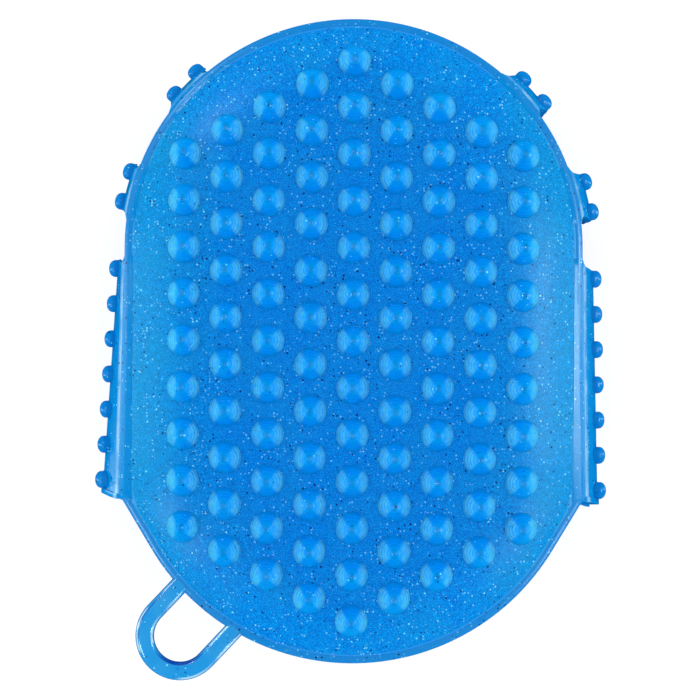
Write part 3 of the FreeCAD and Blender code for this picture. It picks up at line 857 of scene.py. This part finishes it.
def stood(points, spot, normal):
    """A nub's points stood on a spot, along the surface's normal, then turned with the cover."""
    turn = Vector(normal).to_track_quat("Z", "Y").to_matrix()
    placed = points @ np.array(turn).T + np.array(spot)
    x, y, z = twisted(placed[:, 0], placed[:, 1], placed[:, 2])
    return np.stack([x, y, z], axis=1)


def side_dot_spots(e, side):
    """Where the small nubs stand up the cover's side at e, with the way that each points."""
    edge, out = crown_edge(e)
    first = (CROWN_COLUMNS + 1) / 2 * DOT_GAP - CROWN_HALF
    for step in range(DOTS_UP):
        turn = (first + step * DOT_GAP) / BEND
        u = BEND_OUT * math.sin(turn)
        z = CROWN_Z + BEND * (1 - math.cos(turn))
        spot = edge + out * u
        normal = (side * out.x * math.sin(turn), out.y * math.sin(turn), -math.cos(turn))
        yield (side * spot.x, spot.y, z), normal


def side_dots(points, e, side):
    """The small nubs up the cover's side at e, as arrays of points."""
    return [stood(points, spot, normal) for spot, normal in side_dot_spots(e, side)]


def make_small_nubs():
    """The small nubs under the crown and up the walls and legs."""
    crown_points, faces = revolved(dot_profile(CROWN_Z), DOT_SIDES)
    side_points, _ = revolved(dot_profile(DOT_HIGH), DOT_SIDES)
    for column in range(1, CROWN_COLUMNS + 1):
        node = f"crown_nubs_{column}"
        low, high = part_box(node)
        count = round((high.y - low.y - 2 * DOT_RADIUS) / DOT_GAP) + 1
        x = (low.x + high.x) / 2
        rows = np.linspace(low.y + DOT_RADIUS, high.y - DOT_RADIUS, count)
        clusters = [stood(crown_points, (x, y, CROWN_Z), (0, 0, -1)) for y in rows]
        piece = gathered(f"crown_nub_column_{column}", clusters, faces)
        finish_piece(piece, dot_jelly, "small_nub_jelly", node)
        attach(piece, "cover")
    for name, side in (("left", -1), ("right", 1)):
        clusters = []
        for row in range(WALL_DOT_ROWS):
            clusters += side_dots(side_points, WALL_FRONT - DOT_START - row * DOT_GAP - MOUTH, side)
        make_side_dots(f"wall_nubs_{name}", clusters, faces)
        for position, angle in zip(("middle", "front"), LEG_ANGLES):
            clusters = []
            for turn in (angle - DOT_SPREAD, angle + DOT_SPREAD):
                clusters += side_dots(side_points, STRAIGHT + turn * CROWN_HALF, side)
            make_side_dots(f"leg_nubs_{position}_{name}", clusters, faces)


def make_side_dots(node, clusters, faces):
    """The small nubs of one wall or leg, as one piece."""
    piece = gathered(f"small_{node}", clusters, faces)
    finish_piece(piece, dot_jelly, "small_nub_jelly", node)
    join_cover_to_pad(piece)


# ---------------------------------------------------------------- hanging loop

def make_loop():
    """A flat U of rounded section whose two legs run into the pad's edge."""
    joint = joints["loop_flex"]
    axis = Vector(joint["axis"])
    ahead = Vector((-axis.y, axis.x, 0))
    across = Vector((axis.x, axis.y, 0))
    centre = Vector((joint["pos_m"][0], joint["pos_m"][1], 0)) - ahead * LOOP_JOINT_AHEAD
    level = (loop_low.z + loop_high.z) / 2
    root_level = rim_low.z + LOOP_ROOT_UP
    thick = loop_high.z - loop_low.z

    def leg_spots(side):
        """Points up a leg, from the U to just inside the pad's edge."""
        spots = []
        for step in range(1, 40):
            spot = centre + across * LOOP_RADIUS * side + ahead * (LOOP_STEP * step)
            spots.append(spot)
            if edge_distance(np.array([spot.x]), np.array([spot.y]))[0] > LOOP_INSIDE:
                break
        return spots

    bottom = [centre + across * LOOP_RADIUS * math.cos(turn) + ahead * LOOP_RADIUS * math.sin(turn)
              for turn in np.linspace(math.pi, 2 * math.pi, LOOP_ROUND_STEPS)]
    path = leg_spots(-1)[::-1] + bottom + leg_spots(1)
    points = np.zeros((len(path), LOOP_SIDES, 3))
    across_loop = np.zeros((len(path), LOOP_SIDES))
    for i, spot in enumerate(path):
        before = path[max(i - 1, 0)]
        after = path[min(i + 1, len(path) - 1)]
        outward = (after - before).normalized().cross(Vector((0, 0, 1)))
        reach = max((spot - centre).dot(ahead), 0)
        lower = min(reach / LOOP_DIP_LONG, 1)
        lower = lower * lower * (3 - 2 * lower)
        z = level + (root_level - level) * lower
        deep = thick * (1 - LOOP_THINNER * lower)
        for k in range(LOOP_SIDES):
            turn = 2 * math.pi * k / LOOP_SIDES
            wide = math.copysign(abs(math.cos(turn)) ** LOOP_SQUARE, math.cos(turn))
            high = math.copysign(abs(math.sin(turn)) ** LOOP_SQUARE, math.sin(turn))
            rise = Vector((0, 0, z + deep / 2 * high))
            points[i, k] = spot + outward * LOOP_WIDE / 2 * wide + rise
            across_loop[i, k] = wide
    mesh = ring_mesh("hanging_loop", points, {"across": across_loop})
    bm = bmesh.new()
    bm.from_mesh(mesh)
    bmesh.ops.holes_fill(bm, edges=[edge for edge in bm.edges if edge.is_boundary])
    bmesh.ops.recalc_face_normals(bm, faces=bm.faces[:])
    bm.to_mesh(mesh)
    bm.free()
    shade_smooth(mesh)
    piece = link_mesh("hanging_loop", mesh)
    finish_piece(piece, loop_jelly, "loop_jelly", "hang_loop", "loop_neck_left", "loop_neck_right")
    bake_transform(piece)


# ---------------------------------------------------------------- stage

# Long soft boxes at the left and right that glint along the walls: name, place and watts.
SOFTBOXES = (("left_softbox", (-0.75, 0, 0.15), 3.8), ("right_softbox", (0.75, 0, 0.18), 4.2))
SOFTBOX_WIDE = 0.13
SOFTBOX_LONG = 1.2
# Lamps that glint on the pad: name, degrees round from +X and up, and width.
LAMPS = (("low_left_lamp", 213, 46, 0.14), ("low_right_lamp", 327, 46, 0.14),
         ("right_lamp", 2, 52, 0.16), ("high_left_lamp", 133, 48, 0.11))
LAMP_AWAY = 0.8
LAMP_WATTS_A_SQUARE_METRE = 110
LAMP_COLOUR = (0.72, 1.0, 0.98)
LIT_MIDDLE = (0, 0, 0.02)
# The sky's strength overhead and at the left and right; the floor's width, greys and own light.
SKY_MIDDLE = 0.88
SKY_SIDES = 1.76
FLOOR_WIDE = 8
FLOOR_DARK = (0.34, 0.34, 0.34)
FLOOR_PALE = (0.36, 0.36, 0.36)
FLOOR_CLOUD = 30 * MM
FLOOR_GLOW = 0.75
CAMERA_PLACE = (-0.8 * MM, -2.4 * MM, PAD_TOP + 0.67)
CAMERA_TURN = math.radians(0.4)
CAMERA_LENS = 127.6


def make_floor():
    """A plain pale floor, seen only from above."""
    bpy.ops.mesh.primitive_plane_add(size=FLOOR_WIDE, location=(0, 0, 0))
    floor = bpy.context.object
    floor.name = "floor"
    floor.visible_glossy = False
    tree = Tree("pale_floor")
    paper = tree.noise(tree.add("ShaderNodeTexCoord").outputs["Object"], FLOOR_CLOUD)
    shade = tree.mix(paper, FLOOR_DARK, FLOOR_PALE)
    front = tree.add("ShaderNodeBsdfPrincipled", {
        "Base Color": shade, "Roughness": 0.9, "Specular IOR Level": 0.0,
        "Emission Color": (1, 1, 1), "Emission Strength": FLOOR_GLOW})
    clear = tree.add("ShaderNodeBsdfTransparent")
    from_below = tree.add("ShaderNodeNewGeometry").outputs["Backfacing"]
    sides = {0: from_below, 1: front.outputs[0], 2: clear.outputs[0]}
    both = tree.add("ShaderNodeMixShader", sides)
    output = tree.add("ShaderNodeOutputMaterial")
    tree.set(output.inputs["Surface"], both.outputs[0])
    floor.data.materials.append(tree.material)


def make_light(name, place, wide, high, power):
    """A rectangular light aimed at the glove, which shows only as a glint in what it lights."""
    lamp = bpy.data.lights.new(name, "AREA")
    lamp.shape = "RECTANGLE"
    lamp.size = wide
    lamp.size_y = high
    lamp.energy = power
    lamp.color = LAMP_COLOUR
    light = bpy.data.objects.new(name, lamp)
    light.location = place
    light.visible_diffuse = False
    aim = Vector(LIT_MIDDLE) - Vector(place)
    light.rotation_euler = aim.to_track_quat("-Z", "Y").to_euler()
    bpy.context.scene.collection.objects.link(light)


def light_sky(tree):
    """White light from all round, rather more of it from the left and the right."""
    way = tree.nodes.new("ShaderNodeTexCoord")
    parts = tree.nodes.new("ShaderNodeSeparateXYZ")
    square = tree.nodes.new("ShaderNodeMath")
    square.operation = "MULTIPLY"
    strength = tree.nodes.new("ShaderNodeMapRange")
    strength.inputs["To Min"].default_value = SKY_MIDDLE
    strength.inputs["To Max"].default_value = SKY_SIDES
    tree.links.new(way.outputs["Generated"], parts.inputs[0])
    tree.links.new(parts.outputs["X"], square.inputs[0])
    tree.links.new(parts.outputs["X"], square.inputs[1])
    tree.links.new(square.outputs[0], strength.inputs["Value"])
    background = tree.nodes["Background"]
    background.inputs["Color"].default_value = (1, 1, 1, 1)
    tree.links.new(strength.outputs[0], background.inputs["Strength"])


def make_camera():
    """A camera straight above the pad, a little off its middle."""
    camera = bpy.data.cameras.new("camera")
    camera.sensor_width = 36
    camera.lens = CAMERA_LENS
    camera.clip_start = 0.01
    viewer = bpy.data.objects.new("camera", camera)
    viewer.location = CAMERA_PLACE
    viewer.rotation_euler = (0, 0, CAMERA_TURN)
    bpy.context.scene.collection.objects.link(viewer)
    bpy.context.scene.camera = viewer


def make_stage():
    """Floor, sky, lights and camera."""
    make_floor()
    world = bpy.data.worlds.new("studio")
    bpy.context.scene.world = world
    world.use_nodes = True
    light_sky(world.node_tree)
    world.cycles_visibility.glossy = False
    for name, place, power in SOFTBOXES:
        make_light(name, place, SOFTBOX_WIDE, SOFTBOX_LONG, power)
    for name, turn, rise, wide in LAMPS:
        turn = math.radians(turn)
        rise = math.radians(rise)
        way = Vector((math.cos(turn) * math.cos(rise), math.sin(turn) * math.cos(rise),
                      math.sin(rise)))
        make_light(name, way * LAMP_AWAY, wide, wide, LAMP_WATTS_A_SQUARE_METRE * wide * wide)
    bpy.context.scene.view_settings.view_transform = "Standard"
    make_camera()


make_pad()
make_palm_nubs()
make_cover()
make_small_nubs()
make_loop()
make_stage()
